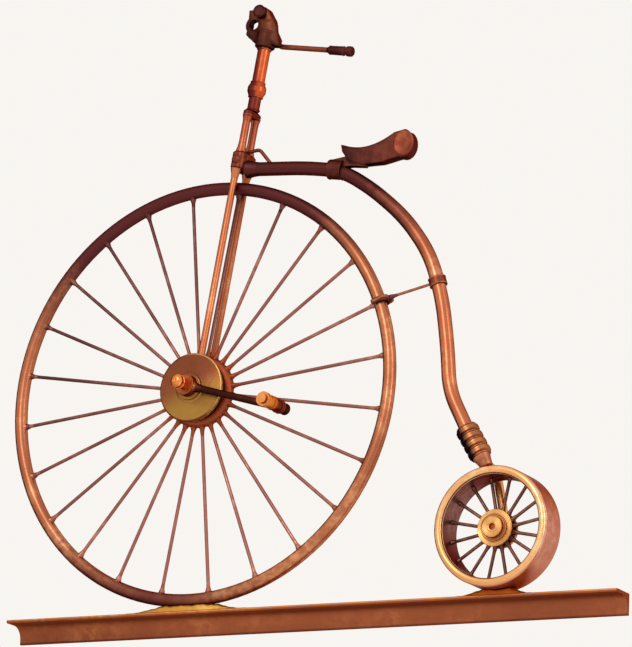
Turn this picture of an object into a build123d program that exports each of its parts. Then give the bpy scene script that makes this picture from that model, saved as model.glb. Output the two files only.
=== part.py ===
# Wall sculpture of a penny farthing in copper and brass, standing on a length of angle rail.
# Millimetres. X runs along the rail, from the big wheel to the small one. Y runs into the wall.
# The origin is the centre of the rail's back face, which lies on the wall, so all of it is at y <= 0.
# Places on the bicycle are given from the big wheel's centre.

import os
from math import cos, radians, sin, tan

from build123d import *

os.makedirs("parts", exist_ok=True)

# Rail: an angle section with its shelf on top and its other leg hanging down the wall
RAIL_LENGTH = 612
RAIL_SHELF = 28
RAIL_DROP = 19
RAIL_THICK = 3
RAIL_ROOT = 12
RAIL_EDGE = 1.2

# Rests on the shelf, one under each wheel
REST_THICK = 4
REST_HEIGHT = 7
REST_SLOPE = 8
REST_GAP = 0.5
FRONT_REST = 112
FRONT_REST_WIDTH = 14
REAR_REST = 64
REAR_REST_WIDTH = 17

# Both wheels turn in one plane
WHEEL_Y = -21
SHELF_TOP = RAIL_DROP / 2
WHEEL_BOTTOM = SHELF_TOP + REST_THICK + REST_GAP

# Big wheel
RIM_RADIUS = 200
RIM_TUBE = 12
FRONT_X = -116
FRONT_Z = WHEEL_BOTTOM + RIM_RADIUS
SPOKES = 24
FIRST_SPOKE = 9
SPOKE = 3.2
FOOT = 5.6
FOOT_LENGTH = 5
SPOKE_SEAT = 1.5
HUB_FLANGE = 29
HUB_DRUM = 24
HUB_HALF = 6.3
HUB_FLANGE_THICK = 2.4
AXLE = 10
AXLE_SHOULDER = 4
CAP_RADIUS = 32
CAP_BACK = -15.5
CAP_FRONT = -19
CAP_DOME = 1.5
STUB = 12
STUB_LENGTH = 6
STUB_END = -46

# Crank and pedal, on the side away from the wall
CRANK_ANGLE = -16
CRANK_LENGTH = 106
CRANK_PLANE = -27
CRANK_ROD = 6.5
CRANK_BOSS = 20
CRANK_BOSS_HALF = 5
CRANK_EYE = 11
CRANK_EYE_HALF = 4
PEDAL = 13
PEDAL_WAIST = 11.4
PEDAL_COLLAR = 5
PEDAL_INNER = -33
PEDAL_OUTER = -65
PEDAL_PIN = 5
PIN_HEAD = 9
PIN_HEAD_THICK = 2
PIN_PLAY = 1

# Running fit of a shaft in its bore
RUNNING = 0.06

# Fork and steering column stand on one raked line through the big wheel's centre
RAKE = 8.4
BLADE = 6.4
BLADE_SPREAD = 10.5
BLADE_EYE = 18
BLADE_EYE_THICK = 7.2
LUG_LOW = 210
LUG_HIGH = 228
LUG_WIDTH = 13
LUG_DEPTH = 28
LUG_ROUND = 5
ROD = 7.2
ROD_SPREAD = 7.6
CROWN_LOW = 262
CROWN_THICK = 7
CROWN_WIDTH = 9
NECK = 11.5
KNOB_LOW = 283
KNOB_HIGH = 297
KNOB = 17.5
KNOB_NECK = 13
COLUMN = 12
COLUMN_TOP = 356

# Strap that bridges from the head lug to the backbone
STRAP = 3.4
STRAP_BEND = 6
STRAP_ROUTE = ((33, 226), (49, 228), (64, 210))

# Handlebar and its head
HEAD_SLEEVE = 18
HEAD_LOW = 332
HEAD_HIGH = 346
EAR_AT = (37.5, 351)
EAR = 9
EAR_HOLE = 4.6
EAR_HALF = 3
BOSS_AT = (46.5, 361)
BOSS = 6.5
BOSS_NEAR = -4
BOSS_FAR = 5
GUSSET = ((47, 358), (52, 356), (62, 336), (60, 329), (47, 331))
GUSSET_NEAR = 0
GUSSET_FAR = 9
BAR = 5
BAR_Y = 10
BAR_ROUTE = ((59, 331), (110, 321.5))
BAR_BENDS = (5, 7)
NEAR_GRIP = 6
NEAR_GRIP_LENGTH = 8
# Far grip's outline: distance along the bar and radius
GRIP_OUTLINE = ((0, 2.5), (3, 4.2), (18, 4.4), (19, 3.7), (20.5, 3.7), (21.5, 4.8), (26, 4.8), (27, 4))

# Backbone: one bent tube from the head lug to the ribbed sleeve, as x and z of its corners
BACKBONE = 13
BACKBONE_ROUTE = ((37, 210), (98, 205), (137, 198), (169, 177), (203.5, 146.5), (230, 109.5), (244, 66),
                  (251, 18), (254, -18), (274, -57))
SLEEVE_END = (287.5, -79.5)
SLEEVE = 21
SLEEVE_WAIST = 17.5
SLEEVE_RIBS = 4
SLEEVE_OVERLAP = 4

# Saddle: side outline with its oval rear roll, and half widths along it
SADDLE_NOSE = (137, 221.5)
SADDLE_DIP = (163.5, 217)
SADDLE_RISE = (191.5, 227)
SADDLE_UNDER = ((199, 205), (178, 201), (158, 201), (144.5, 207), (138.5, 215))
SADDLE_ROLL = (200.5, 216.2)
SADDLE_ROLL_RADII = (9.5, 12.7)
SADDLE_PLAN = ((134, 4.5), (160, 4.5), (188, 5.5), (216, 5.5))
DISH_RADII = (7.2, 10.2)
DISH_DEPTH = 1
# Saddle clamp: a band round the backbone and an arm under the saddle
BAND_AT = (131, 199.5)
BAND = 18
BAND_HALF = 7
BAND_AXIS = (42, 0, -7)
ARM = ((126, 200), (126, 208.5), (148, 211), (163, 206), (161, 199), (146, 201))
ARM_HALF = 4

# Stay: a collar on the backbone and a wire with an open hook that straddles the rim
STAY_WIRE = 3
STAY_ANGLE = 21
STAY_COLLAR = (238.5, 83.3)
STAY_COLLAR_AXIS = (14, 0, -44)
COLLAR = 16
COLLAR_HALF = 3.5
HOOK_LEG = 13
HOOK_CLEAR = 1.5
HOOK_BEND = 4

# Small wheel: a deep ring with a turned hub
REAR_RADIUS = 53.5
REAR_WALL = 7.5
REAR_NEAR = -19
REAR_FAR = 11
REAR_CHAMFER = 1
REAR_X = FRONT_X + 307
REAR_Z = WHEEL_BOTTOM + REAR_RADIUS
REAR_SPOKES = 16
REAR_SPOKE = 3
REAR_SPOKE_ROOT = 12
REAR_SPOKE_SEAT = 2
# Turned hub's steps: far depth, near depth and radius
REAR_HUB = ((6, 3, 15.5), (3, -8, 13.5), (-8, -10, 16), (-10, -12, 12), (-12, -15, 9.5))
REAR_AXLE = 6
REAR_AXLE_END = -12
REAR_LEG = 8
REAR_LEG_Y = 16.5
REAR_LEG_BENDS = (5, 5)
REAR_LEG_KNEE = (295, -91)
REAR_EYE = 15
REAR_EYE_THICK = 6.8


def save(part, name):
    part.label = name
    export_step(part, f"parts/{name}.step")


def from_wheel(x, z, y=0):
    """A point given from the big wheel's centre."""
    return Vector(FRONT_X + x, WHEEL_Y + y, FRONT_Z + z)


def on_steering(distance, y=0):
    """A point on the raked steering line, a distance from the big wheel's centre."""
    return from_wheel(distance * sin(radians(RAKE)), distance * cos(radians(RAKE)), y)


def steering_plane(distance, y=0):
    rake = radians(RAKE)
    return Plane(origin=on_steering(distance, y), x_dir=(cos(rake), 0, -sin(rake)), z_dir=(sin(rake), 0, cos(rake)))


def side_plane(y=0):
    """The wheels' plane or one parallel to it, with its origin level with the big wheel's centre."""
    return Plane(origin=from_wheel(0, 0, y), x_dir=(1, 0, 0), z_dir=(0, -1, 0))


def disc(centre, far, near, radius, mode=Mode.ADD):
    """A round slice whose axis runs into the wall, from a far depth to a nearer one."""
    with BuildSketch(Plane(origin=(centre.X, WHEEL_Y + far, centre.Z), x_dir=(1, 0, 0), z_dir=(0, -1, 0))) as face:
        Circle(radius)
    extrude(face.sketch, amount=far - near, mode=mode)


def side_block(corners, far, near):
    """A slab between two depths with a polygon, given from the big wheel's centre, as its side."""
    with BuildSketch(side_plane(far)) as face:
        with BuildLine():
            Polyline(*corners, close=True)
        make_face()
    extrude(face.sketch, amount=far - near)


def tube_between(start, end, diameter):
    """A round rod from one point to another."""
    with BuildSketch(Plane(origin=start, z_dir=end - start)) as face:
        Circle(diameter / 2)
    extrude(face.sketch, amount=(end - start).length)


def bent_rod(route, bends, diameter):
    with BuildPart() as rod:
        with BuildLine() as path:
            FilletPolyline(*route, radius=bends)
        with BuildSketch(Plane(origin=path.line @ 0, z_dir=path.line % 0)):
            Circle(diameter / 2)
        sweep(path=path.line)
    return rod


def turned(outline, place):
    """A turned piece from (distance, radius) pairs, laid on a plane's normal."""
    with BuildPart() as piece:
        with BuildSketch(Plane.XZ):
            with BuildLine():
                Polyline((0, outline[0][0]), *((radius, distance) for distance, radius in outline),
                         (0, outline[-1][0]), close=True)
            make_face()
        revolve(axis=Axis.Z)
    return piece.part.moved(place.location)


WHEEL_CENTRE = from_wheel(0, 0)
REAR_CENTRE = Vector(REAR_X, WHEEL_Y, REAR_Z)


def make_rail():
    with BuildPart() as rail:
        with BuildSketch(Plane.YZ.offset(-RAIL_LENGTH / 2)):
            with BuildLine():
                Polyline((0, -RAIL_DROP / 2), (0, SHELF_TOP), (-RAIL_SHELF, SHELF_TOP),
                         (-RAIL_SHELF, SHELF_TOP - RAIL_THICK), (-RAIL_THICK, SHELF_TOP - RAIL_THICK),
                         (-RAIL_THICK, -RAIL_DROP / 2), close=True)
            make_face()
        extrude(amount=RAIL_LENGTH)
        root = rail.edges().filter_by(Axis.X).filter_by_position(Axis.Y, -RAIL_THICK, -RAIL_THICK)
        fillet(root.sort_by(Axis.Z)[-1], RAIL_ROOT)
        toes = rail.edges().filter_by(Axis.X).group_by(Axis.Y)[0]
        fillet(toes, RAIL_EDGE)
    save(rail.part, "rail")


def make_rest(name, x, z, length, y_mid, width, hollow):
    """A low brass pad on the shelf. Its hollow follows the wheel that stands in it."""
    with BuildPart() as rest:
        with BuildSketch(Plane(origin=(x, WHEEL_Y + y_mid, SHELF_TOP), x_dir=(1, 0, 0), z_dir=(0, -1, 0))):
            with BuildLine():
                Polyline((-length / 2, 0), (length / 2, 0), (length / 2 - REST_SLOPE, REST_HEIGHT),
                         (REST_SLOPE - length / 2, REST_HEIGHT), close=True)
            make_face()
        extrude(amount=width / 2, both=True)
        with Locations(Location((x, WHEEL_Y, z), (90, 0, 0))):
            hollow()
    save(rest.part, name)


def make_front_wheel():
    with BuildPart() as rim:
        with Locations(Location(WHEEL_CENTRE, (90, 0, 0))):
            Torus(RIM_RADIUS - RIM_TUBE / 2, RIM_TUBE / 2)
    save(rim.part, "front_rim")

    inner = RIM_RADIUS - RIM_TUBE
    outline = ((HUB_DRUM - SPOKE_SEAT, SPOKE / 2), (inner - FOOT_LENGTH, SPOKE / 2), (inner - 1, FOOT / 2),
               (inner + SPOKE_SEAT, FOOT / 2))
    spoke = turned(outline, Plane.XY)
    with BuildPart() as spokes:
        for i in range(SPOKES):
            turn = FIRST_SPOKE + 360 / SPOKES * i
            add(spoke.moved(Location(WHEEL_CENTRE) * Location((0, 0, 0), (0, turn, 0))))
    save(spokes.part, "front_spokes")

    with BuildPart() as hub:
        disc(WHEEL_CENTRE, HUB_HALF, HUB_HALF - HUB_FLANGE_THICK, HUB_FLANGE)
        disc(WHEEL_CENTRE, HUB_HALF, -HUB_HALF, HUB_DRUM)
        disc(WHEEL_CENTRE, HUB_FLANGE_THICK - HUB_HALF, -HUB_HALF, HUB_FLANGE)
        disc(WHEEL_CENTRE, HUB_HALF, -HUB_HALF, AXLE / 2, mode=Mode.SUBTRACT)
    save(hub.part, "front_hub")

    # The cap disc's dome is one shallow arc from its edge to its middle
    with BuildPart() as cap:
        with BuildSketch(Plane.XZ):
            with BuildLine():
                Polyline((0, CAP_BACK), (CAP_RADIUS, CAP_BACK), (CAP_RADIUS, CAP_FRONT))
                ThreePointArc((CAP_RADIUS, CAP_FRONT), (CAP_RADIUS / 2, CAP_FRONT - 0.75 * CAP_DOME),
                              (0, CAP_FRONT - CAP_DOME))
                Line((0, CAP_FRONT - CAP_DOME), (0, CAP_BACK))
            make_face()
        revolve(axis=Axis.Z)
        Hole(AXLE / 2)
    save(cap.part.moved(Location(WHEEL_CENTRE, (-90, 0, 0))), "hub_cap")

    with BuildPart() as axle:
        disc(WHEEL_CENTRE, BLADE_SPREAD + BLADE_EYE_THICK / 2 + 1, STUB_END + AXLE_SHOULDER, AXLE / 2)
        disc(WHEEL_CENTRE, STUB_END + STUB_LENGTH, STUB_END, STUB / 2)
        chamfer(axle.faces().sort_by(Axis.Y)[0].edges(), 1)
    save(axle.part, "front_axle")


def make_crank():
    lean = radians(CRANK_ANGLE)
    end = from_wheel(CRANK_LENGTH * cos(lean), CRANK_LENGTH * sin(lean), CRANK_PLANE)
    boss = CRANK_PLANE + CRANK_BOSS_HALF, CRANK_PLANE - CRANK_BOSS_HALF
    eye = CRANK_PLANE + CRANK_EYE_HALF, CRANK_PLANE - CRANK_EYE_HALF
    with BuildPart() as crank:
        tube_between(from_wheel(0, 0, CRANK_PLANE), end, CRANK_ROD)
        disc(WHEEL_CENTRE, *boss, CRANK_BOSS / 2)
        disc(end, *eye, CRANK_EYE / 2)
        disc(WHEEL_CENTRE, *boss, AXLE / 2, mode=Mode.SUBTRACT)
        disc(end, *eye, PEDAL_PIN / 2, mode=Mode.SUBTRACT)
    save(crank.part, "crank")

    head = PEDAL_OUTER - PIN_PLAY
    with BuildPart() as pin:
        disc(end, eye[0], head, PEDAL_PIN / 2)
        disc(end, head, head - PIN_HEAD_THICK, PIN_HEAD / 2)
    save(pin.part, "pedal_pin")

    # The barrel has a collar at each end and one in its middle
    middle = (PEDAL_INNER + PEDAL_OUTER) / 2
    with BuildPart() as pedal:
        disc(end, PEDAL_INNER, PEDAL_OUTER, PEDAL_WAIST / 2)
        for far in (PEDAL_INNER, middle + PEDAL_COLLAR / 2, PEDAL_OUTER + PEDAL_COLLAR):
            disc(end, far, far - PEDAL_COLLAR, PEDAL / 2)
        disc(end, PEDAL_INNER, PEDAL_OUTER, PEDAL_PIN / 2 + RUNNING, mode=Mode.SUBTRACT)
    save(pedal.part, "pedal")


def make_fork():
    for name, side in (("fork_blade_near", -1), ("fork_blade_far", 1)):
        y = side * BLADE_SPREAD
        eye = y + BLADE_EYE_THICK / 2, y - BLADE_EYE_THICK / 2
        with BuildPart() as blade:
            tube_between(on_steering(BLADE_EYE / 2 - 2, y), on_steering(LUG_LOW, y), BLADE)
            disc(WHEEL_CENTRE, *eye, BLADE_EYE / 2)
            disc(WHEEL_CENTRE, *eye, AXLE / 2 + RUNNING, mode=Mode.SUBTRACT)
        save(blade.part, name)

    for name, side in (("head_rod_near", -1), ("head_rod_far", 1)):
        with BuildPart() as rod:
            tube_between(on_steering(LUG_HIGH, side * ROD_SPREAD), on_steering(CROWN_LOW, side * ROD_SPREAD), ROD)
        save(rod.part, name)

    # Crown over the two rods, then a neck and a knob like a bead
    knob_middle = (KNOB_LOW + KNOB_HIGH) / 2
    outline = ((CROWN_LOW + CROWN_THICK, NECK / 2), (KNOB_LOW, NECK / 2), (KNOB_LOW, KNOB_NECK / 2),
               (knob_middle - 2, KNOB / 2), (knob_middle + 2, KNOB / 2), (KNOB_HIGH, KNOB_NECK / 2))
    with BuildPart() as neck:
        with BuildSketch(steering_plane(CROWN_LOW)):
            SlotOverall(2 * ROD_SPREAD + CROWN_WIDTH, CROWN_WIDTH, rotation=90)
        extrude(amount=CROWN_THICK)
        chamfer(neck.faces().filter_by(steering_plane(0)).sort_by(Axis.Z)[-1].edges(), 2)
        add(turned(outline, steering_plane(0)))
    save(neck.part, "head_neck")

    with BuildPart() as column:
        tube_between(on_steering(KNOB_HIGH), on_steering(COLUMN_TOP), COLUMN)
    save(column.part, "steering_column")
    return column


def make_handlebar(column):
    ear = from_wheel(*EAR_AT)
    boss = from_wheel(*BOSS_AT)
    start = from_wheel(*BOSS_AT, BOSS_NEAR)
    route = [start, from_wheel(*BOSS_AT, BAR_Y), *(from_wheel(x, z, BAR_Y) for x, z in BAR_ROUTE)]
    bar = bent_rod(route, BAR_BENDS, BAR)
    save(bar.part, "handlebar")

    with BuildPart() as clamp:
        tube_between(on_steering(HEAD_LOW), on_steering(HEAD_HIGH), HEAD_SLEEVE)
        disc(ear, EAR_HALF, -EAR_HALF, EAR)
        disc(boss, BOSS_FAR, BOSS_NEAR, BOSS)
        side_block(GUSSET, GUSSET_FAR, GUSSET_NEAR)
        disc(ear, EAR_HALF, -EAR_HALF, EAR_HOLE, mode=Mode.SUBTRACT)
        add(column.part, mode=Mode.SUBTRACT)
        add(bar.part, mode=Mode.SUBTRACT)
    save(clamp.part, "handlebar_clamp")

    along = Plane(origin=route[-1], z_dir=route[-1] - route[-2])
    save(turned(GRIP_OUTLINE, along), "grip_far")
    with BuildPart() as grip:
        disc(boss, BOSS_NEAR, BOSS_NEAR - NEAR_GRIP_LENGTH, NEAR_GRIP)
        chamfer(grip.edges().filter_by(GeomType.CIRCLE), 1.5)
    save(grip.part, "grip_near")


def smooth_bends(route):
    """The largest arc that each corner of a route has room for."""
    bends = []
    for before, corner, after in zip(route, route[1:], route[2:]):
        turn = radians((corner - before).get_angle(after - corner))
        run = min((corner - before).length, (after - corner).length)
        bends.append(0.45 * run / tan(turn / 2))
    return bends


def make_backbone():
    route = [from_wheel(x, z) for x, z in BACKBONE_ROUTE]
    backbone = bent_rod(route, smooth_bends(route), BACKBONE)
    save(backbone.part, "backbone")

    strap = bent_rod([from_wheel(x, z) for x, z in STRAP_ROUTE], (STRAP_BEND,), STRAP)
    with strap:
        add(backbone.part, mode=Mode.SUBTRACT)
    save(strap.part, "head_strap")

    with BuildPart() as lug:
        with BuildSketch(steering_plane(LUG_LOW)):
            RectangleRounded(LUG_WIDTH, LUG_DEPTH, LUG_ROUND)
        extrude(amount=LUG_HIGH - LUG_LOW)
        chamfer(lug.faces().filter_by(steering_plane(0)).edges(), 2)
        add(backbone.part, mode=Mode.SUBTRACT)
        add(strap.part, mode=Mode.SUBTRACT)
    save(lug.part, "head_lug")

    # The sleeve's ribs stand round the backbone's end
    end = from_wheel(*SLEEVE_END)
    along = (end - route[-1]).normalized()
    length = (end - route[-1]).length + SLEEVE_OVERLAP
    pitch = length / SLEEVE_RIBS
    outline = []
    for i in range(SLEEVE_RIBS):
        outline += [((i + 0.1) * pitch, SLEEVE_WAIST / 2), ((i + 0.25) * pitch, SLEEVE / 2),
                    ((i + 0.75) * pitch, SLEEVE / 2), ((i + 0.9) * pitch, SLEEVE_WAIST / 2)]
    with BuildPart() as sleeve:
        add(turned(outline, Plane(origin=route[-1] - along * SLEEVE_OVERLAP, z_dir=along)))
        add(backbone.part, mode=Mode.SUBTRACT)
    save(sleeve.part, "rear_sleeve")

    start = end - along * 0.1 * pitch
    eye = Vector(REAR_X, WHEEL_Y + REAR_LEG_Y, REAR_Z)
    leg = bent_rod([start, end + along * 7, from_wheel(*REAR_LEG_KNEE, REAR_LEG_Y), eye], REAR_LEG_BENDS, REAR_LEG)
    far = REAR_LEG_Y + REAR_EYE_THICK / 2
    near = far - REAR_EYE_THICK
    with leg:
        disc(REAR_CENTRE, far, near, REAR_EYE / 2)
        disc(REAR_CENTRE, far + 1, near - 1, REAR_AXLE / 2, mode=Mode.SUBTRACT)
    save(leg.part, "rear_leg")
    with BuildPart() as axle:
        disc(REAR_CENTRE, far, REAR_AXLE_END, REAR_AXLE / 2)
    save(axle.part, "rear_axle")
    return backbone


def make_stay(backbone):
    """A wire from a collar on the backbone, with an open hook that straddles the rim."""
    lean = radians(STAY_ANGLE)
    outward = Vector(cos(lean), 0, sin(lean))
    bend = WHEEL_CENTRE + outward * (RIM_RADIUS + HOOK_BEND)
    reach = RIM_TUBE / 2 + STAY_WIRE / 2 + HOOK_CLEAR
    prongs = [bend + Vector(0, side * reach, 0) for side in (-1, 1)]
    with BuildPart() as collar:
        with BuildSketch(Plane(origin=from_wheel(*STAY_COLLAR), z_dir=STAY_COLLAR_AXIS)):
            Circle(COLLAR / 2)
        extrude(amount=COLLAR_HALF, both=True)
        add(backbone.part, mode=Mode.SUBTRACT)
    hook = bent_rod([prongs[0] - outward * HOOK_LEG, *prongs, prongs[1] - outward * HOOK_LEG],
                    (HOOK_BEND, HOOK_BEND), STAY_WIRE)
    with hook:
        tube_between(bend, from_wheel(*STAY_COLLAR), STAY_WIRE - 0.4)
        add(collar.part, mode=Mode.SUBTRACT)
        add(backbone.part, mode=Mode.SUBTRACT)
    save(hook.part.solids().sort_by(SortBy.VOLUME)[-1], "stay_wire")
    save(collar.part.solids().sort_by(SortBy.VOLUME)[-1], "stay_collar")


def make_saddle(backbone):
    """The saddle's side outline, cut to its plan: narrow at the nose and wider at the roll."""
    half = SADDLE_PLAN[-1][1]
    roll_top = SADDLE_ROLL[0], SADDLE_ROLL[1] + SADDLE_ROLL_RADII[1]
    with BuildPart() as saddle:
        with BuildSketch(side_plane()):
            with BuildLine():
                ThreePointArc(SADDLE_NOSE, SADDLE_DIP, SADDLE_RISE)
                Polyline(SADDLE_RISE, roll_top, SADDLE_ROLL, *SADDLE_UNDER, SADDLE_NOSE)
            make_face()
            with Locations(SADDLE_ROLL):
                Ellipse(*SADDLE_ROLL_RADII)
        extrude(amount=half, both=True)
        with BuildSketch(Plane.XY.offset(SHELF_TOP)) as plan:
            with BuildLine():
                Polyline(*((FRONT_X + x, WHEEL_Y - y) for x, y in SADDLE_PLAN),
                         *((FRONT_X + x, WHEEL_Y + y) for x, y in reversed(SADDLE_PLAN)), close=True)
            make_face()
        extrude(plan.sketch, amount=FRONT_Z + COLUMN_TOP, mode=Mode.INTERSECT)
        for far in (half, DISH_DEPTH - half):
            with BuildSketch(side_plane(far)) as dish:
                with Locations(SADDLE_ROLL):
                    Ellipse(*DISH_RADII)
            extrude(dish.sketch, amount=DISH_DEPTH, mode=Mode.SUBTRACT)
    save(saddle.part, "saddle")
    with BuildPart() as clamp:
        with BuildSketch(Plane(origin=from_wheel(*BAND_AT), z_dir=BAND_AXIS)):
            Circle(BAND / 2)
        extrude(amount=BAND_HALF, both=True)
        side_block(ARM, ARM_HALF, -ARM_HALF)
        add(saddle.part, mode=Mode.SUBTRACT)
        add(backbone.part, mode=Mode.SUBTRACT)
    save(clamp.part, "saddle_clamp")


def make_rear_wheel():
    inner = REAR_RADIUS - REAR_WALL
    with BuildPart() as ring:
        disc(REAR_CENTRE, REAR_FAR, REAR_NEAR, REAR_RADIUS)
        disc(REAR_CENTRE, REAR_FAR, REAR_NEAR, inner, mode=Mode.SUBTRACT)
        chamfer(ring.edges().filter_by(GeomType.CIRCLE), REAR_CHAMFER)
    save(ring.part, "rear_ring")

    spoke = turned(((REAR_SPOKE_ROOT, REAR_SPOKE / 2), (inner + REAR_SPOKE_SEAT, REAR_SPOKE / 2)), Plane.XY)
    with BuildPart() as spokes:
        for i in range(REAR_SPOKES):
            turn = 360 / REAR_SPOKES * (i + 0.5)
            add(spoke.moved(Location(REAR_CENTRE) * Location((0, 0, 0), (0, turn, 0))))
    save(spokes.part, "rear_spokes")

    with BuildPart() as hub:
        for far, near, radius in REAR_HUB:
            disc(REAR_CENTRE, far, near, radius)
        disc(REAR_CENTRE, REAR_HUB[0][0], REAR_HUB[-1][1], REAR_AXLE / 2 + RUNNING, mode=Mode.SUBTRACT)
    save(hub.part, "rear_hub")


make_rail()
make_rest("front_rest", FRONT_X, FRONT_Z, FRONT_REST, 0, FRONT_REST_WIDTH,
          lambda: Torus(RIM_RADIUS - RIM_TUBE / 2, RIM_TUBE / 2 + REST_GAP, mode=Mode.SUBTRACT))
make_rest("rear_rest", REAR_X, REAR_Z, REAR_REST, 1.5, REAR_REST_WIDTH,
          lambda: Cylinder(REAR_RADIUS + REST_GAP, 2 * REAR_REST_WIDTH, mode=Mode.SUBTRACT))
make_front_wheel()
make_crank()
column = make_fork()
make_handlebar(column)
backbone = make_backbone()
make_stay(backbone)
make_saddle(backbone)
make_rear_wheel()
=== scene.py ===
import random
from math import cos, inf, pi, radians, sin

import bmesh
import bpy
from mathutils import Matrix, Vector


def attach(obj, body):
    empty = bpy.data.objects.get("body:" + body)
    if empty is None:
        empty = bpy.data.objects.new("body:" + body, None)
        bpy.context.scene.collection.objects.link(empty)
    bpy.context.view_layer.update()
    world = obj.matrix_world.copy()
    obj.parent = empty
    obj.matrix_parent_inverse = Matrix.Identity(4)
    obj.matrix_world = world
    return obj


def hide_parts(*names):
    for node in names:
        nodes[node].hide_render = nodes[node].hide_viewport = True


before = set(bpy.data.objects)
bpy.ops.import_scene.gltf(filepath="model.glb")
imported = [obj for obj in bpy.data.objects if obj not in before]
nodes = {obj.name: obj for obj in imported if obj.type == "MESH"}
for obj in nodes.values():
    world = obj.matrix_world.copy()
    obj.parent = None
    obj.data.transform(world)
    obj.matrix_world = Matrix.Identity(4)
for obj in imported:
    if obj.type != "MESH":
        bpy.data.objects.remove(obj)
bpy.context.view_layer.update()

# Looks of a copper and brass penny farthing that stands on a length of angle rail.
# Points are in the part's own frame: X along the rail, Y into the wall, Z up.
# The two wheels' centres, the camera and the studio are in metres. All other sizes are millimetres.
# Angles are degrees.

random.seed(11)

MM = 0.001
ALONG = Vector((1, 0, 0))
UP = Vector((0, 0, 1))
TO_WALL = Vector((0, 1, 0))

# Big wheel
WHEEL = Vector((-0.116, -0.021, 0.214))
RIM_RADIUS = 200
RIM_TUBE = 12
TUBE_MIDDLE = RIM_RADIUS - RIM_TUBE / 2
SPOKES = 24
FIRST_SPOKE = 9

# Cap's rolled edge, crank and groove of the axle's stub, all on the side away from the wall
CAP_EDGE_RADIUS = 31.3
CAP_EDGE_DEPTH = -18.2
CRANK_ANGLE = -16
CRANK_LENGTH = 106
CRANK_DEPTH = -27
BOSS_HALF = 5.2
GROOVE_DEPTH = -40.6

# Raked line of the fork and the steering column
RAKE = 8.4
STEERING = Vector((sin(radians(RAKE)), 0, cos(radians(RAKE))))
BLADE_SPREAD = 10.5
ROD_SPREAD = 7.6
LUG_MIDDLE = 219
LUG_FACE = -13.6

# Head and handlebar, from the big wheel's centre
EYE = (37.5, 351)
BOSS = (46.5, 361)
BAR_END = (110, 321.5)
BAR_DEPTH = 10
BAR_WAY = Vector((51, 0, -9.5)).normalized()

# Backbone and saddle, from the big wheel's centre
BACKBONE_START = (37.5, 210)
BACKBONE_WAY = Vector((61, 0, -5)).normalized()
BAND = (131, 199.5)
BAND_WAY = Vector((42, 0, -7)).normalized()
BAND_HALF = 6.6
SADDLE_NOSE = Vector((137, 221.5))
SADDLE_DIP = Vector((163.5, 217))
SADDLE_RISE = Vector((191.5, 227))
SADDLE_ROLL = Vector((200.5, 216.2))
ROLL_RADII = (9.5, 12.7)

# Stay between the backbone and the big rim
STAY_ANGLE = 21
STAY_COLLAR = (238.5, 83.3)
COLLAR_WAY = Vector((14, 0, -44)).normalized()
COLLAR_HALF = 3.4
HOOK_REACH = 204

# Ribbed sleeve between the backbone and the small wheel's leg
BACKBONE_END = (274, -57)
SLEEVE_WAY = Vector((13.5, 0, -22.5)).normalized()
SLEEVE_OVERLAP = 4
SLEEVE_LENGTH = 30.24
SLEEVE_SWELLS = 4

# Small wheel
REAR = Vector((0.191, -0.021, 0.0675))
REAR_RADIUS = 53.5
REAR_INNER = 46
REAR_SPOKES = 16
AXLE_FAR_END = 19.9

# Rail: the middle of its length, the height of its shelf and the shelf's front edge
RAIL_MIDDLE = Vector((0, 0, 0))
SHELF = 9.5
SHELF_EDGE = -28

# Gap that each wheel keeps from its rest
REST_GAP = 0.5

# Camera: how far round, up and over it stands, what it looks at and how long its lens is
CAMERA_TURN = 30.424
CAMERA_RISE = -13.863
CAMERA_ROLL = 3.142
CAMERA_DISTANCE = 3.322
AIM_RIGHT = 0.1057
AIM_UP = 0.0630
LENS = 201.5

# Studio: the floor's height and reach, and the top of the cards that stand on it, in metres
FLOOR = -0.60
REACH = 30
CARD_TOP = 1.8
LAMP_AIM = Vector((0, 0, 0.25))
# Each lamp: place, size, power and colour
LAMPS = {
    "key_in_front": ((0.1, -2.6, 1.5), (0.5, 1.7), 19, (1, 0.95, 0.89)),
    "key_from_the_right": ((2.7, -0.6, 0.8), (0.6, 2.0), 12, (1, 0.94, 0.87)),
}
# Both ends of each card's foot
CARDS = (((-2.56, -0.45), (-2.4, 1.0)), ((-2.4, 1.0), (-1.3, 2.25)))


def from_wheel(x, z, y=0):
    """A point given from the big wheel's centre."""
    return WHEEL + Vector((x, y, z)) * MM


def from_steering(distance, y=0):
    """A point given along the steering line and into the wall."""
    return WHEEL + STEERING * distance * MM + TO_WALL * y * MM


def from_sleeve(distance):
    """A point on the ribbed sleeve's axis, from its upper end."""
    return from_wheel(*BACKBONE_END) + SLEEVE_WAY * (distance - SLEEVE_OVERLAP) * MM


def round_wheel(turn):
    """The way from a wheel's axis at a turn, which is counted as the spokes are."""
    return Vector((cos(radians(turn)), 0, -sin(radians(turn))))


def spoke_ways(count, first):
    return [round_wheel(first + 360 / count * i) for i in range(count)]


CRANK_WAY = round_wheel(-CRANK_ANGLE)


def tone(code):
    """A colour for a shader from its usual hexadecimal code."""
    steps = [int(code[i:i + 2], 16) / 255 for i in (1, 3, 5)]
    return tuple(s / 12.92 if s <= 0.04045 else ((s + 0.055) / 1.055) ** 2.4 for s in steps) + (1,)


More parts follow.
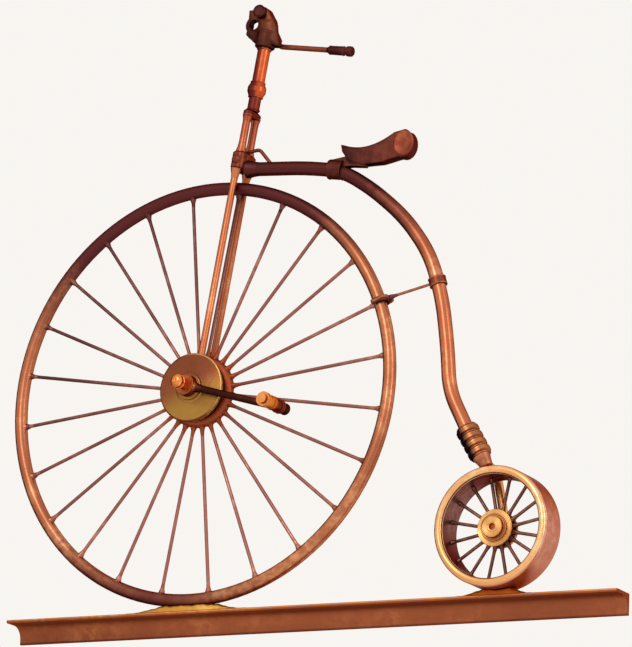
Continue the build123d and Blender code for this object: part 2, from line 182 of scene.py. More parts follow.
class Wire:
    """A value that changes over a surface. Sums with it add the nodes that work them out."""

    def __init__(self, finish, socket):
        self.finish = finish
        self.socket = socket

    def math(self, operation, *others):
        return self.finish.node("Math", {"operation": operation}, dict(enumerate((self, *others))))

    def __add__(self, other):
        return self.math("ADD", other)

    def __sub__(self, other):
        return self.math("SUBTRACT", other)

    def __rsub__(self, other):
        return self.finish.node("Math", {"operation": "SUBTRACT"}, {0: other, 1: self})

    def __mul__(self, other):
        return self.math("MULTIPLY", other)

    __radd__ = __add__
    __rmul__ = __mul__

    def ease(self, low, high):
        """0 below low, 1 above high and a soft step between them."""
        return self.finish.node("MapRange", {"interpolation_type": "SMOOTHSTEP"},
                                {"Value": self, "From Min": low, "From Max": high})


class Finish:
    """A material and the nodes that give its look."""

    def __init__(self, name, **constants):
        self.material = bpy.data.materials.new(name)
        self.material.use_nodes = True
        self.tree = self.material.node_tree
        self.shader = self.tree.nodes["Principled BSDF"]
        for socket, value in constants.items():
            self.shader.inputs[socket.replace("_", " ")].default_value = value
        self.spot = self.node("TexCoord", output="Object")
        self.x, self.y, self.z = (self.node("SeparateXYZ", inputs={0: self.spot}, output=axis)
                                  for axis in "XYZ")

    def node(self, kind, settings=None, inputs=None, output=0):
        made = self.tree.nodes.new("ShaderNode" + kind)
        for name, value in (settings or {}).items():
            setattr(made, name, value)
        for name, value in (inputs or {}).items():
            self.plug(made.inputs[name], value)
        return Wire(self, made.outputs[output])

    def plug(self, socket, value):
        if isinstance(value, Wire):
            self.tree.links.new(value.socket, socket)
        else:
            socket.default_value = value

    def mix(self, mask, low, high):
        """A colour that goes from low to high as the mask goes from 0 to 1."""
        return self.node("Mix", {"data_type": "RGBA"}, {0: mask, 6: low, 7: high}, output=2)

    def noise(self, scale, detail, spot=None, rough=0.55):
        return self.node("TexNoise", {}, {"Vector": spot or self.spot, "Scale": scale, "Detail": detail,
                                          "Roughness": rough})

    def stretched(self, *scales):
        """The spot with each of its directions scaled, for marks that run along the metal."""
        return self.node("VectorMath", {"operation": "MULTIPLY"}, {0: self.spot, 1: scales})

    def from_axis(self, centre):
        """Distance from a wheel's axis."""
        across = self.x - centre.x
        above = self.z - centre.z
        return (across * across + above * above).math("SQRT")

    def along(self, start, way):
        """Distance from a start along a way."""
        offset = self.node("VectorMath", {"operation": "SUBTRACT"}, {0: self.spot, 1: start})
        return self.node("VectorMath", {"operation": "DOT_PRODUCT"}, {0: offset, 1: way}, output="Value")

    def looking(self, way):
        """How far a face looks along a way: 1 straight along it, -1 straight back."""
        normal = self.node("TexCoord", output="Normal")
        return self.node("VectorMath", {"operation": "DOT_PRODUCT"}, {0: normal, 1: way}, output="Value")

    def set(self, colour, roughness, height, depth):
        bump = self.node("Bump", {}, {"Strength": 1.0, "Distance": depth, "Height": height})
        self.plug(self.shader.inputs["Base Color"], colour)
        self.plug(self.shader.inputs["Roughness"], roughness)
        self.plug(self.shader.inputs["Normal"], bump)
        return self.material


# Edge reflections of old metal, redder than white
EDGE_TINT = tone("#8a5848")
# The way that the faces with painted shade look: down and to the left
UNDERNEATH = (-0.5, 0, -0.866)
# Depth of pits and scratches
MARK_DEPTH = 0.1


def aged(name, deep, body, bright, gloss=0.32, dark=(), lines=None, patch=16, blotches=0.4, under=0.45):
    """Old bare metal: tarnished patches, painted shade on faces that look down and left, darkening from the
    given masks, rubbed bright spots, pits and fine scratches.
    """
    finish = Finish(name, Metallic=1.0, Specular_Tint=EDGE_TINT)
    deep, body, bright = (colour(finish) if callable(colour) else tone(colour)
                          for colour in (deep, body, bright))
    clouds = finish.noise(scale=patch, detail=3)
    mottle = finish.noise(scale=140, detail=4, rough=0.6)
    grain = finish.noise(scale=1500, detail=2)
    pits = finish.noise(scale=430, detail=2).ease(0.68, 0.78)
    scratches = finish.noise(scale=1.0, detail=2, spot=finish.stretched(260, 1900, 900))

    tarnish_and_shade = (clouds.ease(0.4, 0.75) * 0.7 + mottle.ease(0.4, 0.8) * 0.3) * blotches
    # Painted shade: faces that look down and to the left are darkened
    tarnish_and_shade = tarnish_and_shade + finish.looking(UNDERNEATH).ease(0.05, 0.95) * under
    for mask in dark:
        tarnish_and_shade = tarnish_and_shade + mask(finish)
    tarnish_and_shade = tarnish_and_shade.math("MINIMUM", 1.0)
    rubbed = (1 - clouds).ease(0.44, 0.66) * (1 - mottle).ease(0.35, 0.7) * (1 - tarnish_and_shade) * 0.7

    colour = finish.mix(tarnish_and_shade, body, deep)
    colour = finish.mix(rubbed, colour, bright)
    colour = finish.mix(pits * 0.35, colour, deep)
    roughness = tarnish_and_shade * 0.14 + scratches * 0.1 + gloss - rubbed * 0.06
    height = grain * 0.15 + scratches * 0.3 + mottle * 0.35 - pits * 0.8
    if lines:
        height = height + lines(finish) * 0.45
    return finish.set(colour, roughness, height, depth=MARK_DEPTH * MM)


def turned_rings(centre, pitch):
    """Fine circles that a lathe leaves round a wheel's axis."""
    return lambda finish: (finish.from_axis(centre) * (2 * pi / (pitch * MM))).math("SINE")


def from_here(start, way, low, top, amount):
    """More darkening from low to top along a way from a start."""
    return lambda finish: finish.along(start, way).ease(low * MM, top * MM) * amount


def outwards(centre, low, top, amount):
    """More darkening with distance from a wheel's axis."""
    return lambda finish: finish.from_axis(centre).ease(low * MM, top * MM) * amount


def stretch_of(start, way, low, top, amount):
    """More darkening between low and top along a way from a start, with a soft edge of 1 mm at each."""
    def mask(finish):
        distance = finish.along(start, way)
        past_low = distance.ease((low - 1) * MM, (low + 1) * MM)
        past_top = distance.ease((top - 1) * MM, (top + 1) * MM)
        return (past_low - past_top) * amount
    return mask


def ring_colour(face, outside, inside):
    """A ring with painted light and shade: pale on its flat faces as if lit, copper outside, and dark inside
    where shade falls.
    """
    def colour(finish):
        out = finish.from_axis(REAR).ease((REAR_INNER + 1) * MM, (REAR_INNER + 4) * MM)
        round_it = finish.mix(out, tone(inside), tone(outside))
        flat = finish.looking(TO_WALL).math("ABSOLUTE").ease(0.35, 0.75)
        return finish.mix(flat, round_it, tone(face))
    return colour


def cap_colour(above, below):
    """A disc that goes from copper in its upper half to yellow in its lower half."""
    def colour(finish):
        low = finish.along(WHEEL, (0.35, 0, -0.94)).ease(-8 * MM, 18 * MM)
        return finish.mix(low, tone(above), tone(below))
    return colour


def rail_colour(face, edge):
    """The rail's face, and a painted highlight along the front edge of its shelf."""
    def colour(finish):
        top = finish.z.ease((SHELF - 1.7) * MM, (SHELF - 1.1) * MM)
        front = (finish.y * -1).ease((-SHELF_EDGE - 2.5) * MM, (-SHELF_EDGE - 0.5) * MM)
        return finish.mix(top * front, tone(face), tone(edge))
    return colour


# Each finish: its dark colour for tarnished patches and painted shade, its plain and rubbed colours, and how
# it differs from other old metal
LOOKS = {
    # Painted shade: the rim is darker towards its top and towards its bottom
    "rim_copper": dict(
        deep="#5e2e2e", body="#bc7250", bright="#f0b080", gloss=0.27,
        dark=[from_here(WHEEL, (-0.15, 0, 0.99), 70, 165, 0.95),
              from_here(WHEEL, (-0.25, 0, -0.97), 135, 195, 0.6)]),
    # Painted shade: the spokes are darker towards the upper left
    "spoke_copper": dict(
        deep="#5c363a", body="#a4685c", bright="#d89c88", gloss=0.34,
        dark=[from_here(WHEEL, (-0.7, 0, 0.7), -30, 150, 0.7)]),
    "hub_copper": dict(
        deep="#5a2820", body="#a85234", bright="#d88450", gloss=0.34, lines=turned_rings(WHEEL, 1.1)),
    "cap_bronze": dict(
        deep=cap_colour("#64301f", "#7c5426"), body=cap_colour("#8e5036", "#b88a44"),
        bright=cap_colour("#b4704a", "#dcb468"), gloss=0.26, lines=turned_rings(WHEEL, 1.2), under=0),
    # Painted light and shade: the rolled edge is dark on its left and lower side, and its bright colour on
    # the right is a painted highlight crescent
    "cap_rim_bronze": dict(
        deep="#6c3c28", body="#d8a464", bright="#fff0c0", gloss=0.18, under=0.5,
        dark=[from_here(WHEEL, (-0.9, 0, -0.44), -22, 6, 0.95)]),
    "axle_copper": dict(
        deep="#7c3820", body="#e8833f", bright="#ffc484", gloss=0.2, blotches=0.15, under=0.6),
    "crank_bronze": dict(
        deep="#3c1c18", body="#b06038", bright="#e09858", dark=[outwards(WHEEL, 9, 14, 0.85)]),
    # Painted light and shade: the pedal is bright at its end towards the viewer and dark towards the wall
    "pedal_copper": dict(
        deep="#6e2a2a", body="#ec9650", bright="#ffd090", gloss=0.24, blotches=0.15,
        dark=[from_here(WHEEL, TO_WALL, -53, -45, 0.85)]),
    # Painted shade: the blade nearer the wall is a little darker
    "blade_copper": dict(
        deep="#8a4630", body="#cc7850", bright="#f6b486", gloss=0.26,
        dark=[from_here(WHEEL, TO_WALL, 0, 4, 0.25)]),
    "rod_copper": dict(deep="#74342c", body="#b05c40", bright="#dc9474", gloss=0.28),
    "head_copper": dict(deep="#44211f", body="#7c3c2e", bright="#b06844", gloss=0.36),
    "clamp_copper": dict(deep="#351a1a", body="#552b26", bright="#80442f", gloss=0.38),
    # Painted shade: the column is dark on its side towards the left and the front
    "column_copper": dict(
        deep="#6c2c28", body="#cc5c34", bright="#ec8450", gloss=0.25, blotches=0.2,
        dark=[stretch_of(WHEEL, STEERING, 259, 282, 0.75),
              from_here(WHEEL, (-0.857, -0.5, 0.1265), -1.5, 3, 0.9)]),
    # Painted shade: the head is darker towards its lower left
    "clamp_bronze": dict(
        deep="#3a1e1e", body="#7c4430", bright="#b06c40", gloss=0.34,
        dark=[from_here(from_wheel(48, 350), (-0.7, 0, -0.7), -9, 9, 0.7)]),
    "bar_bronze": dict(deep="#4a2420", body="#8c4a34", bright="#b4704c"),
    # Painted shade: the backbone is darker towards its top
    "backbone_copper": dict(
        deep="#5a2c2a", body="#c87450", bright="#f6b488", gloss=0.25,
        dark=[from_here(WHEEL, UP, 150, 200, 0.5), from_here(WHEEL, UP, 50, 190, 0.6)]),
    # Painted light: the leg has a paler copper than the stay, as if lit
    "leg_copper": dict(deep="#8c4c34", body="#eca868", bright="#ffe0a8", gloss=0.24),
    "stay_copper": dict(deep="#54302a", body="#a8664a", bright="#d8946c"),
    "hook_copper": dict(deep="#3c2022", body="#6c3c38", bright="#8c5448", gloss=0.4),
    "saddle_bronze": dict(
        deep="#30181c", body="#68342c", bright="#8a4836", gloss=0.42, blotches=0.25, under=0.8,
        dark=[from_here(WHEEL, -ALONG, -188, -140, 0.7)]),
    "roll_copper": dict(
        deep="#5a2420", body="#8c4230", bright="#b4684c", gloss=0.38, blotches=0.3,
        dark=[from_here(WHEEL, (0.6, 0, -0.8), -52, -44, 0.3)]),
    "grip_bronze": dict(
        deep="#3a1a1b", body="#66312f", bright="#a05c48", gloss=0.38,
        dark=[from_here(WHEEL, -ALONG, -128, -120, 0.5)]),
    # Painted shade: the sleeve is dark on its lower left side
    "sleeve_bronze": dict(
        deep="#2a1c24", body="#b4744c", bright="#dc9c70",
        dark=[from_here(from_sleeve(0), (-0.857, 0, -0.515), -2, 6, 0.95)]),
    # Painted light and shade: pale flat faces as if lit, and a dark inside where shade falls
    "ring_brass": dict(
        deep=ring_colour("#b87440", "#b06c58", "#4c3438"),
        body=ring_colour("#f4b478", "#dc9480", "#8c6662"),
        bright=ring_colour("#ffe8b8", "#f0b8a0", "#a88480"), gloss=0.24, blotches=0.3, under=0.25),
    "small_spoke_brass": dict(deep="#442828", body="#7c4e44", bright="#b88468", gloss=0.34),
    "small_hub_brass": dict(
        deep="#8a4c2c", body="#e6a462", bright="#ffdc9c", gloss=0.24, blotches=0.25, under=0.3,
        lines=turned_rings(REAR, 1.1),
        dark=[outwards(REAR, 8.8, 9.8, 0.6), outwards(REAR, 11.8, 12.8, -0.6)]),
    # Painted highlight: a bright line along the front edge of the shelf, from rail_colour
    "rail_copper": dict(
        deep="#723a2a", body=rail_colour("#a45c3c", "#e89450"), bright=rail_colour("#c47a4e", "#ffb870"),
        gloss=0.4, patch=7, under=0,
        dark=[from_here(RAIL_MIDDLE, -UP, 7, 9.2, 0.8), from_here(RAIL_MIDDLE, -ALONG, 60, 300, 0.35)]),
    "rest_brass": dict(deep="#98602c", body="#e2a044", bright="#ffd67c", gloss=0.3, under=0),
}
FINISHES = {name: aged(name, **look) for name, look in LOOKS.items()}

# The frame's own pieces that have each finish
NODE_FINISHES = {
    "rim_copper": "front_rim",
    "spoke_copper": "front_spokes",
    "hub_copper": "front_hub rear_axle",
    "cap_bronze": "hub_cap",
    "axle_copper": "front_axle",
    "crank_bronze": "crank",
    "pedal_copper": "pedal pedal_pin",
    "blade_copper": "fork_blade_near fork_blade_far",
    "rod_copper": "head_rod_near head_rod_far",
    "head_copper": "head_lug head_strap stay_collar",
    "clamp_copper": "saddle_clamp",
    "column_copper": "steering_column head_neck",
    "clamp_bronze": "handlebar_clamp",
    "bar_bronze": "handlebar",
    "backbone_copper": "backbone",
    "stay_copper": "stay_wire",
    "leg_copper": "rear_leg",
    "saddle_bronze": "saddle",
    "grip_bronze": "grip_far grip_near",
    "sleeve_bronze": "rear_sleeve",
    "ring_brass": "rear_ring",
    "small_spoke_brass": "rear_spokes",
    "small_hub_brass": "rear_hub",
    "rail_copper": "rail",
}


def dress_nodes():
    for finish, members in NODE_FINISHES.items():
        for name in members.split():
            data = nodes[name].data
            data.materials.clear()
            data.materials.append(FINISHES[finish])


class Piece:
    """A mesh that is built up and then rides on a body."""

    def __init__(self, name, body, finish, slot):
        self.name = name
        self.body = body
        self.finish = finish
        self.slot = slot
        self.mesh = bmesh.new()

    def __enter__(self):
        return self.mesh

    def __exit__(self, *problem):
        bmesh.ops.recalc_face_normals(self.mesh, faces=self.mesh.faces)
        data = bpy.data.meshes.new(self.name)
        self.mesh.to_mesh(data)
        self.mesh.free()
        data.materials.append(FINISHES[self.finish])
        data.shade_smooth()
        data.set_sharp_from_angle(angle=radians(50))
        made = bpy.data.objects.new(self.name, data)
        bpy.context.scene.collection.objects.link(made)
        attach(made, self.body)


def uneven(lumps):
    """A factor near 1, as hand work varies."""
    return 1 + random.uniform(-lumps, lumps)


def square_to(axis):
    """Two ways that are square to an axis and to each other."""
    axis = Vector(axis).normalized()
    across = axis.orthogonal().normalized()
    return across, axis.cross(across)


def ways_round(across, third, count):
    return [across * cos(2 * pi * i / count) + third * sin(2 * pi * i / count) for i in range(count)]


def circle(centre, axis, radius, count=96):
    """A ring of points round an axis."""
    return [centre + way * radius * MM for way in ways_round(*square_to(axis), count)]


def skin_on(mesh, rows, joined=False, ends=False):
    """Adds faces between rows of points. The last row can join the first, or both ends can be closed."""
    following = rows[1:] + rows[:1] if joined else rows[1:]
    for low, high in zip(rows, following):
        for i in range(len(low)):
            j = (i + 1) % len(low)
            mesh.faces.new((low[i], low[j], high[j], high[i]))
    if ends:
        mesh.faces.new(rows[0][::-1])
        mesh.faces.new(rows[-1])


def turn_on(mesh, outline, place, axis, sides=20, lumps=0.0):
    """Adds a closed turned piece from distances along an axis and radii."""
    axis = Vector(axis).normalized()
    ways = ways_round(*square_to(axis), sides)
    rows = [[mesh.verts.new(place + axis * distance * MM + way * (radius * MM * uneven(lumps)))
             for way in ways] for distance, radius in outline]
    skin_on(mesh, rows, ends=True)


def bead_on(mesh, points, radius, sides=8, lumps=0.0):
    """Adds a closed round bead that follows a ring of points."""
    rows = []
    count = len(points)
    for i, point in enumerate(points):
        along = (points[(i + 1) % count] - points[i - 1]).normalized()
        across = along.cross(TO_WALL)
        if across.length <= 0.05:
            across = along.orthogonal()
        across.normalize()
        reach = radius * MM * uneven(lumps)
        rows.append([mesh.verts.new(point + way * reach)
                     for way in ways_round(across, along.cross(across), sides)])
    skin_on(mesh, rows, joined=True)


def ring_on(mesh, centre, outline, sides=144):
    """Adds a ring round a wheel's axis from a closed outline of radii and depths."""
    ways = spoke_ways(sides, 0)
    rows = [[mesh.verts.new(centre + (way * radius + TO_WALL * depth) * MM) for way in ways]
            for radius, depth in outline]
    skin_on(mesh, rows, joined=True)


def plate_on(mesh, outline, half):
    """Adds a flat plate with eased edges from an outline given from the big wheel's centre."""
    near = [mesh.verts.new(from_wheel(x, z, -half)) for x, z in outline]
    far = [mesh.verts.new(from_wheel(x, z, half)) for x, z in outline]
    faces = [mesh.faces.new(near), mesh.faces.new(far[::-1])]
    for i in range(len(outline)):
        j = (i + 1) % len(outline)
        faces.append(mesh.faces.new((near[j], near[i], far[i], far[j])))
    edges = list({edge for face in faces for edge in face.edges})
    bmesh.ops.bevel(mesh, geom=edges, offset=0.7 * MM, segments=3, profile=0.5, affect="EDGES")


def make_spoke_braze():
    """Braze that widens each big spoke into the rim and the hub, and a run of it round the hub."""
    # Distances from the wheel's axis and radii
    foot = ((180, 1.62), (183.5, 1.8), (186, 2.25), (187.8, 3.0), (189, 3.7), (190.8, 4.3))
    root = ((31, 3.1), (34.5, 2.8), (36.3, 2.2), (39, 1.8), (42, 1.62))
    # Depths from the wheel's plane and radii
    band = ((-5.5, 28.4), (-5, 30.8), (-3.6, 32.8), (-1.6, 33.8), (1.6, 33.8), (3.6, 32.8), (5, 30.8),
            (5.5, 28.4))
    ways = spoke_ways(SPOKES, FIRST_SPOKE)
    with Piece("spoke_braze", "front_wheel", "rim_copper", "aged_copper") as mesh:
        for way in ways:
            turn_on(mesh, foot, WHEEL, way, sides=16, lumps=0.03)
    with Piece("hub_braze", "front_wheel", "hub_copper", "aged_copper") as mesh:
        for way in ways:
            turn_on(mesh, root, WHEEL, way, sides=16, lumps=0.05)
        turn_on(mesh, band, WHEEL, TO_WALL, sides=144, lumps=0.008)


def make_cap():
    """The cap disc's turned washer and its rolled edge."""
    # Depths from the wheel's plane and radii
    washer = ((-18.5, 14.5), (-20.4, 14.5), (-20.9, 14), (-20.9, 12.6), (-22.3, 12.2), (-22.8, 11))
    edge = circle(from_wheel(0, 0, CAP_EDGE_DEPTH), TO_WALL, CAP_EDGE_RADIUS, 144)
    with Piece("cap_trim", "front_wheel", "cap_bronze", "bronze") as mesh:
        turn_on(mesh, washer, WHEEL, TO_WALL, sides=64)
    with Piece("cap_edge", "front_wheel", "cap_rim_bronze", "bronze") as mesh:
        bead_on(mesh, edge, 1.1, sides=12)


def make_stub_end():
    """The rivet end of the big axle's stub, and a ring in its groove."""
    # Depths from the wheel's plane and radii
    rivet = ((-45.5, 5.2), (-46.6, 4.6), (-47.3, 3.2), (-47.6, 1.4), (-47.1, 0.9))
    with Piece("axle_end", "front_wheel", "axle_copper", "aged_copper") as mesh:
        turn_on(mesh, rivet, WHEEL, TO_WALL, sides=40)
        bead_on(mesh, circle(from_wheel(0, 0, GROOVE_DEPTH), TO_WALL, 6.1), 0.55)


def make_crank():
    """Flares at both ends of the crank's arm, and rings on both edges of its boss."""
    # Distances from the wheel's axis and radii
    at_boss = ((9, 5), (11, 4.6), (14, 3.8), (18, 3.28))
    at_eye = ((92, 3.28), (97, 3.7), (100, 4.1), (101.6, 4.3))
    with Piece("crank_braze", "front_wheel", "crank_bronze", "bronze") as mesh:
        for flare in (at_boss, at_eye):
            turn_on(mesh, flare, from_wheel(0, 0, CRANK_DEPTH), CRANK_WAY, sides=28, lumps=0.02)
        for depth in (CRANK_DEPTH + BOSS_HALF, CRANK_DEPTH - BOSS_HALF):
            bead_on(mesh, circle(from_wheel(0, 0, depth), TO_WALL, 9.7), 0.6, lumps=0.04)


def make_pedal_rings():
    with Piece("pedal_rings", "near_pedal", "pedal_copper", "aged_copper") as mesh:
        for depth in (-33.6, -37.6, -60.4, -64.4):
            place = from_wheel(0, 0, depth) + CRANK_WAY * CRANK_LENGTH * MM
            bead_on(mesh, circle(place, TO_WALL, 6.35, 48), 0.4)


def make_blade_flares():
    """Flares at both ends of the fork's two blades."""
    # Distances along the steering line and radii
    foot = ((8, 3.6), (10, 3.6), (13, 3.5), (17, 3.22))
    top = ((201, 3.22), (205, 3.7), (208, 4.4), (210.5, 5.2))
    with Piece("fork_braze", "frame", "blade_copper", "aged_copper") as mesh:
        for y in (-BLADE_SPREAD, BLADE_SPREAD):
            for flare, lumps in ((foot, 0.02), (top, 0.03)):
                turn_on(mesh, flare, from_steering(0, y), STEERING, sides=24, lumps=lumps)


def make_rod_flares():
    """Flares at both ends of the two rods above the fork."""
    # Distances along the steering line and radii
    foot = ((227.5, 5.2), (230, 4.5), (233, 3.9), (237, 3.62))
    top = ((257, 3.62), (259.5, 3.85), (261.5, 4.3), (264, 4.7))
    with Piece("rod_braze", "frame", "rod_copper", "aged_copper") as mesh:
        for y in (-ROD_SPREAD, ROD_SPREAD):
            for flare in (foot, top):
                turn_on(mesh, flare, from_steering(0, y), STEERING, sides=24, lumps=0.03)


def make_column_rings():
    """Rings of the neck, its knob and the column."""
    # Distance along the steering line, radius and thickness
    rings = ((270.5, 5.9, 0.7), (283, 6.5, 0.7), (297, 6.4, 0.8), (329.5, 6.3, 0.8))
    with Piece("column_rings", "frame", "column_copper", "aged_copper") as mesh:
        for distance, radius, thick in rings:
            bead_on(mesh, circle(from_steering(distance), STEERING, radius, 48), thick)


def make_lug_rivet():
    # Distances from the lug's near face and radii
    rivet = ((0, 4.4), (0.9, 4.2), (1.8, 3.1), (2.2, 1.4))
    with Piece("lug_trim", "frame", "head_copper", "aged_copper") as mesh:
        turn_on(mesh, rivet, from_steering(LUG_MIDDLE, LUG_FACE), -TO_WALL, sides=28, lumps=0.02)


def make_backbone_flare():
    # Distances along the backbone and radii
    flare = ((0, 8.6), (2.5, 8.2), (6, 7.2), (12, 6.55))
    with Piece("backbone_braze", "frame", "backbone_copper", "aged_copper") as mesh:
        turn_on(mesh, flare, from_wheel(*BACKBONE_START), BACKBONE_WAY, sides=32, lumps=0.02)


def reach_to(outline, centre, angle):
    """How far an outline lies from a centre along an angle."""
    way = Vector((cos(angle), sin(angle)))
    reach = 0
    for start, end in zip(outline, outline[1:] + outline[:1]):
        edge = end - start
        turn = way.cross(edge)
        if abs(turn) < 1e-9:
            continue
        far = (start - centre).cross(edge) / turn
        share = (start - centre).cross(way) / turn
        if far > 0 and -1e-6 <= share <= 1 + 1e-6:
            reach = far
    return reach


def head_half(point):
    """Half thickness of the head's web: full round the column and thin at the eye."""
    thin = 3.5
    added = 3.1
    full_to = 4
    thin_from = 11
    off_axis = abs(point.x - point.y * STEERING.x / STEERING.z) * STEERING.z
    share = min(max((thin_from - off_axis) / (thin_from - full_to), 0), 1)
    return thin + added * share * share * (3 - 2 * share)


def make_head_web():
    """The web that joins the head's sleeve, eye and boss, with the eye's hole left open."""
    eye = Vector(EYE)
    outline = [Vector(p) for p in ((31.5, 366.6), (52, 364.8), (58, 354.5), (60, 349), (65, 327),
                                   (57, 328.6), (40.5, 331), (29, 342), (31, 352.5))]
    # From the hole to the edge: distance, share of the room to the edge and share of the thickness.
    # The first three count the room from the hole, the others from the eye's middle.
    across = ((4.5, 0, 0.7), (4.9, 0.03, 1), (5.5, 0.1, 1),
              (0, 0.55, 1), (-1.3, 1, 1), (-0.3, 1, 0.85), (0, 1, 0.55))
    hole = 5
    turns = 96
    with Piece("clamp_web", "frame", "clamp_bronze", "bronze") as mesh:
        rows = []
        for i in range(turns):
            angle = 2 * pi * i / turns
            way = Vector((cos(angle), sin(angle)))
            edge = reach_to(outline, eye, angle) * uneven(0.012)
            near, far = [], []
            for distance, share, thick in across:
                room = edge if share >= 0.5 else edge - hole
                point = eye + way * (distance + room * share)
                half = head_half(point) * thick
                near.append(mesh.verts.new(from_wheel(point.x, point.y, -half)))
                far.append(mesh.verts.new(from_wheel(point.x, point.y, half)))
            rows.append(near + far[::-1])
        skin_on(mesh, rows, joined=True)


def make_head_rings():
    """Rings round the head's eye and on both ends of its sleeve."""
    # Distances along the steering line and radii
    sleeve_foot = ((331, 8.6), (331.6, 9.3), (333, 9.5), (334, 9.05))
    sleeve_top = ((344, 9.05), (345, 9.5), (346.4, 9.3), (347, 8.6))
    with Piece("clamp_rings", "frame", "clamp_bronze", "bronze") as mesh:
        for depth in (-3.4, 3.4):
            bead_on(mesh, circle(from_wheel(*EYE, depth), TO_WALL, 5.3, 48), 0.7, lumps=0.03)
        for ring in (sleeve_foot, sleeve_top):
            turn_on(mesh, ring, WHEEL, STEERING, sides=40)


def make_grip_rings():
    """Rings on the handlebar's long grip and on the short one towards the viewer."""
    with Piece("grip_rings", "frame", "grip_bronze", "dark_bronze") as mesh:
        grip = from_wheel(*BAR_END, BAR_DEPTH)
        for distance, radius in ((3.2, 4.15), (17.6, 4.4), (24, 4.75)):
            bead_on(mesh, circle(grip + BAR_WAY * distance * MM, BAR_WAY, radius, 40), 0.3)
        for depth in (-5.5, -11.2):
            bead_on(mesh, circle(from_wheel(*BOSS, depth), TO_WALL, 5.9, 40), 0.4)


def saddle_edge():
    """Points of the saddle's side outline: its dipped top, its oval roll and its underside."""
    steps = 24
    points = []
    for i in range(steps + 1):
        t = i / steps
        points.append(SADDLE_NOSE * (1 - t) * (1 - 2 * t) + SADDLE_DIP * 4 * t * (1 - t)
                      + SADDLE_RISE * t * (2 * t - 1))
    wide, tall = ROLL_RADII
    for i in range(steps + 1):
        angle = radians(80 - 190 * i / steps)
        points.append(SADDLE_ROLL + Vector((wide * cos(angle), tall * sin(angle))))
    underside = ((195, 204.2), (191, 203.5), (185, 202.3), (178, 201), (168, 201), (158, 201),
                 (151, 204), (144.5, 207), (141.3, 211.2), (138.5, 215))
    return points + [Vector(p) for p in underside]


def saddle_half(x):
    """Half width of the saddle at a distance behind the big wheel's centre."""
    plan = ((134, 4.5), (160, 4.5), (188, 5.5), (216, 5.5))
    for (start, narrow), (end, wide) in zip(plan, plan[1:]):
        if x <= end:
            return narrow + (wide - narrow) * (x - start) / (end - start)
    return plan[-1][1]


def make_saddle_welt():
    """The welt round both sides of the saddle, and the plate under its nose."""
    plate = ((137, 221), (141.7, 208), (146.4, 202.4), (160, 201.5), (161, 207), (147, 215))
    with Piece("saddle_welt", "frame", "saddle_bronze", "dark_bronze") as mesh:
        for side in (-1, 1):
            edge = [from_wheel(p.x, p.y, side * (saddle_half(p.x) - 0.2)) for p in saddle_edge()]
            bead_on(mesh, edge, 0.6, lumps=0.04)
        plate_on(mesh, plate, 4.3)


def make_roll_ends():
    """Each end of the saddle's rolled tail: a crowned oval with a turned-over lip."""
    # Share of the oval's radii and depth from the saddle's middle
    crown = ((0.94, 4.8), (0.94, 5.7), (0.92, 6.1), (0.87, 6.35), (0.8, 6.3), (0.6, 6.05), (0.35, 5.9),
             (0.12, 5.85))
    # Side, middle behind the big wheel's centre, and half width and half height of the oval
    ends = ((-1, 201.2, 10.8, 12.9), (1, 200.5, 9.4, 12.6))
    turns = 72
    with Piece("saddle_roll_ends", "frame", "roll_copper", "bronze") as mesh:
        for side, middle, wide, tall in ends:
            rows = []
            for scale, depth in crown:
                row = []
                for i in range(turns):
                    angle = 2 * pi * i / turns
                    reach = scale * uneven(0.004)
                    x = middle + wide * reach * cos(angle)
                    z = SADDLE_ROLL.y + tall * reach * sin(angle)
                    row.append(mesh.verts.new(from_wheel(x, z, side * depth)))
                rows.append(row)
            skin_on(mesh, rows, ends=True)


def make_band_edges():
    with Piece("saddle_band_edges", "frame", "clamp_copper", "aged_copper") as mesh:
        for reach in (-BAND_HALF, BAND_HALF):
            middle = from_wheel(*BAND) + BAND_WAY * reach * MM
            bead_on(mesh, circle(middle, BAND_WAY, 8.6, 48), 0.8, lumps=0.03)


def make_sleeve_ribs():
    """Ribs at both ends of each swell of the sleeve, and a finer one on the top of each."""
    pitch = SLEEVE_LENGTH / SLEEVE_SWELLS
    with Piece("sleeve_ribs", "frame", "sleeve_bronze", "dark_bronze") as mesh:
        for i in range(SLEEVE_SWELLS + 1):
            bead_on(mesh, circle(from_sleeve(pitch * i), SLEEVE_WAY, 8.7, 48), 0.8, lumps=0.05)
        for i in range(SLEEVE_SWELLS):
            bead_on(mesh, circle(from_sleeve(pitch * (i + 0.5)), SLEEVE_WAY, 10.25, 48), 0.45, lumps=0.05)


def make_sleeve_socket():
    """The socket on the sleeve's lower end, which holds the leg."""
    # Distances from the sleeve's lower end and radii
    socket = ((-2, 8.4), (0.4, 8.4), (1.4, 8.1), (4, 7.2), (8, 6.2), (11, 5.7), (11.7, 5.2), (11.9, 4))
    with Piece("sleeve_socket", "frame", "stay_copper", "aged_copper") as mesh:
        turn_on(mesh, socket, from_sleeve(SLEEVE_LENGTH), SLEEVE_WAY, sides=48, lumps=0.006)


def make_stay_rings():
    """Edges of the stay's collar, and the riveted end of the small wheel's axle."""
    # Distances along the axle and radii
    rivet = ((0, 3.6), (0.4, 3.4), (0.7, 2.4), (0.8, 1))
    with Piece("stay_braze", "frame", "stay_copper", "aged_copper") as mesh:
        for reach in (-COLLAR_HALF, COLLAR_HALF):
            middle = from_wheel(*STAY_COLLAR) + COLLAR_WAY * reach * MM
            bead_on(mesh, circle(middle, COLLAR_WAY, 7.6, 48), 0.7, lumps=0.05)
        turn_on(mesh, rivet, REAR + TO_WALL * AXLE_FAR_END * MM, TO_WALL, sides=28)


